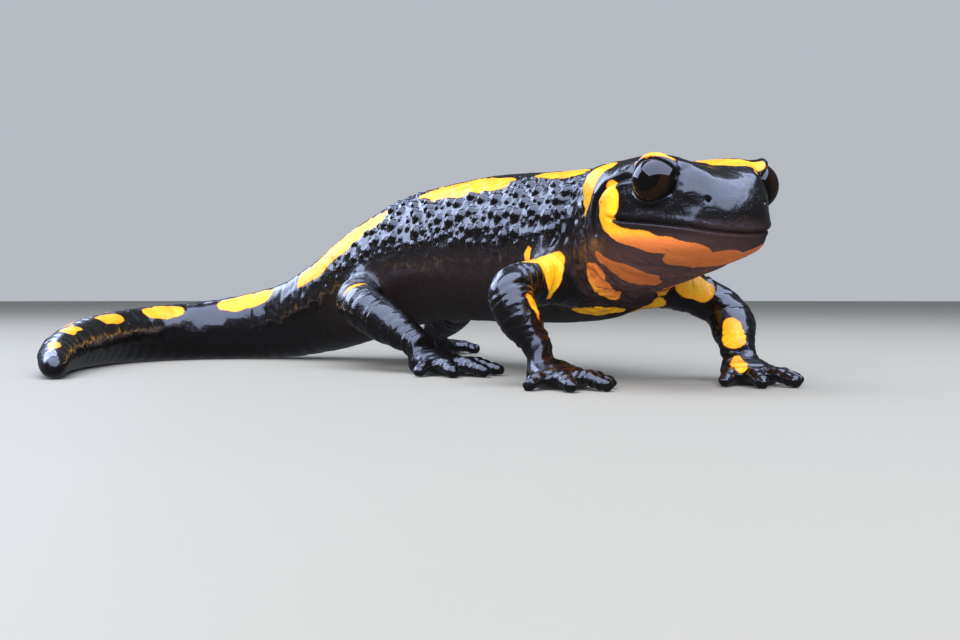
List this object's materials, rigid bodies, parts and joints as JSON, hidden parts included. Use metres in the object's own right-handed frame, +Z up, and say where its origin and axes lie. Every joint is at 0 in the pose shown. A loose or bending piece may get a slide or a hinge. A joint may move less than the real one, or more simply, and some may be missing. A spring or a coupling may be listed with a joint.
{
  "type": "fire salamander",
  "caption": "Stocky black salamander with yellow blotches, standing on splayed legs, head raised and level, its round tail swept round beside it on the floor.",
  "frame": {"origin": "on the floor, at the middle of the whole animal's length and width", "axes": "+X the way the trunk faces, +Y the animal's left, +Z up"},
  "size_m": [0.1102, 0.0878, 0.0278],
  "materials": {
    "skin": "wet, glossy black skin with yellow and orange blotches and rounded glands",
    "eye": "wet, near-black, mirror smooth"
  },
  "bodies": {
    "root": {"head": "skin", "lower_jaw": "skin", "eye_left": "eye", "eye_right": "eye", "neck": "skin", "shoulders": "skin", "trunk": "skin", "loin": "skin", "hips": "skin", "tail_1": "skin", "tail_2": "skin", "tail_3": "skin", "tail_4": "skin", "upper_arm_right": "skin", "forearm_right": "skin", "hand_right": "skin", "upper_arm_left": "skin", "forearm_left": "skin", "hand_left": "skin", "thigh_right": "skin", "shin_right": "skin", "foot_right": "skin", "thigh_left": "skin", "shin_left": "skin", "foot_left": "skin"}
  },
  "joints": []
}
